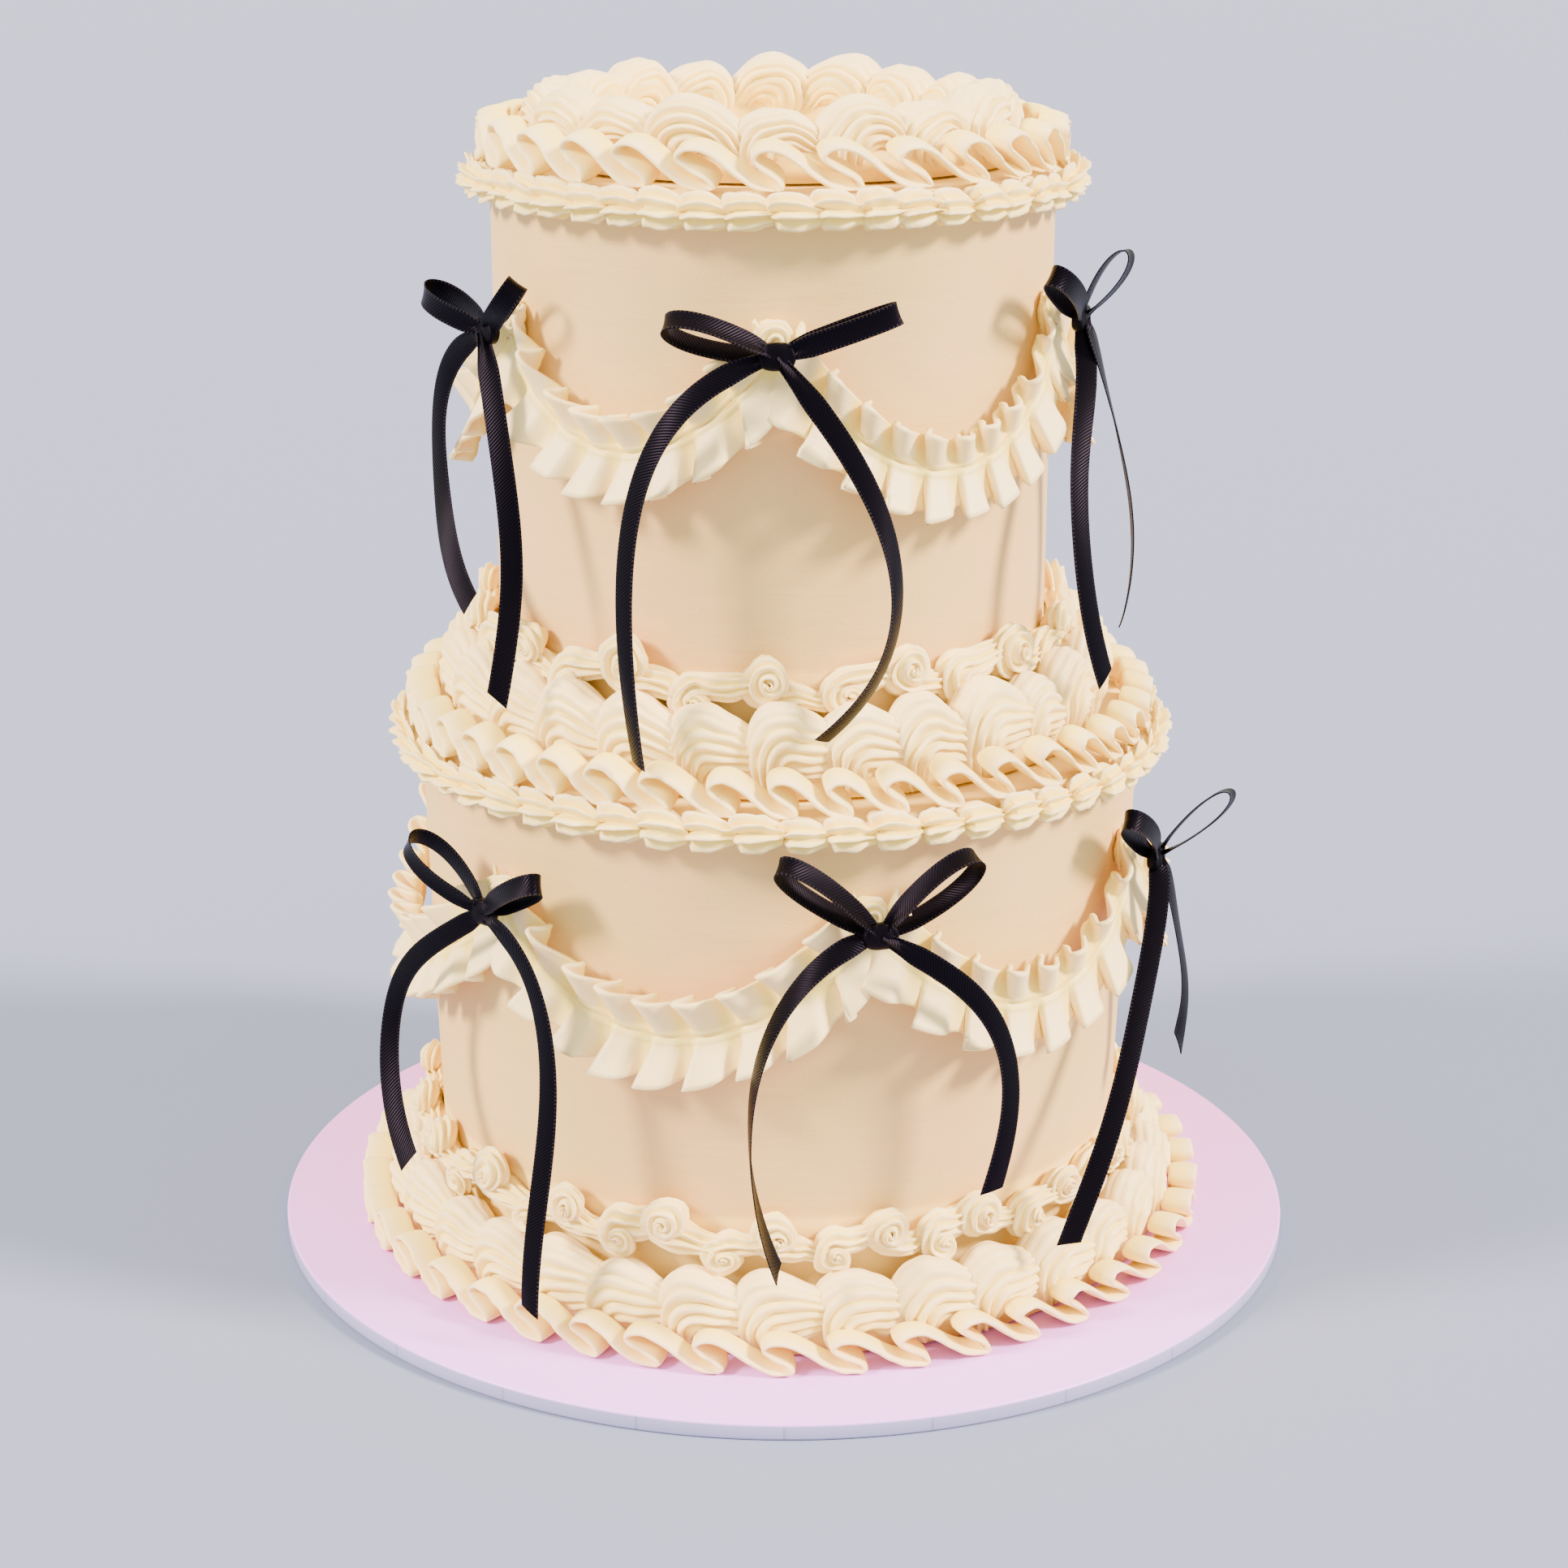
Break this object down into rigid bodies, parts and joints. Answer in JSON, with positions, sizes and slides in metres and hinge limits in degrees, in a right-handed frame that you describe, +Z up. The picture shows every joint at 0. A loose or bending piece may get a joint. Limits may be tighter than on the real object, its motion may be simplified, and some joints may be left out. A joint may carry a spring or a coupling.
{
  "type": "tiered wedding cake",
  "caption": "Two-tier round buttercream wedding cake on its board, with piped shell, ruffle and scroll borders, ruffled swags and black ribbon bows.",
  "frame": {"origin": "centre of the underside of the board, where the cake stands on a table", "axes": "+Z up, -Y towards the front of the cake, +X to its right"},
  "size_m": [0.3048, 0.3048, 0.3419],
  "materials": {
    "board": "pale pink foil wrapped round a cake board, satin",
    "icing": "smoothed pale cream buttercream, soft satin with faint smears",
    "piping": "piped buttercream, near white with yellow hollows",
    "ribbon": "black satin ribbon with a dotted woven edge"
  },
  "bodies": {
    "root": {"board": "board", "lower_tier": "icing", "upper_tier": "icing", "base_shells": "piping", "base_ruffle": "piping", "base_scroll": "piping", "mid_shells": "piping", "mid_ruffle": "piping", "mid_scroll": "piping", "mid_side_shells": "piping", "top_shells": "piping", "top_ruffle": "piping", "top_side_shells": "piping", "lower_swag_1": "piping", "lower_swag_2": "piping", "lower_swag_3": "piping", "lower_swag_4": "piping", "lower_swag_5": "piping", "lower_swag_6": "piping", "upper_swag_1": "piping", "upper_swag_2": "piping", "upper_swag_3": "piping", "upper_swag_4": "piping", "upper_swag_5": "piping", "upper_swag_6": "piping", "lower_rosette_1": "piping", "lower_rosette_2": "piping", "lower_rosette_3": "piping", "lower_rosette_4": "piping", "lower_rosette_5": "piping", "lower_rosette_6": "piping", "upper_rosette_1": "piping", "upper_rosette_2": "piping", "upper_rosette_3": "piping", "upper_rosette_4": "piping", "upper_rosette_5": "piping", "upper_rosette_6": "piping", "lower_bow_1": "ribbon", "lower_bow_2": "ribbon", "lower_bow_3": "ribbon", "lower_bow_4": "ribbon", "lower_bow_5": "ribbon", "lower_bow_6": "ribbon", "upper_bow_1": "ribbon", "upper_bow_2": "ribbon", "upper_bow_3": "ribbon", "upper_bow_4": "ribbon", "upper_bow_5": "ribbon", "upper_bow_6": "ribbon"}
  },
  "joints": []
}
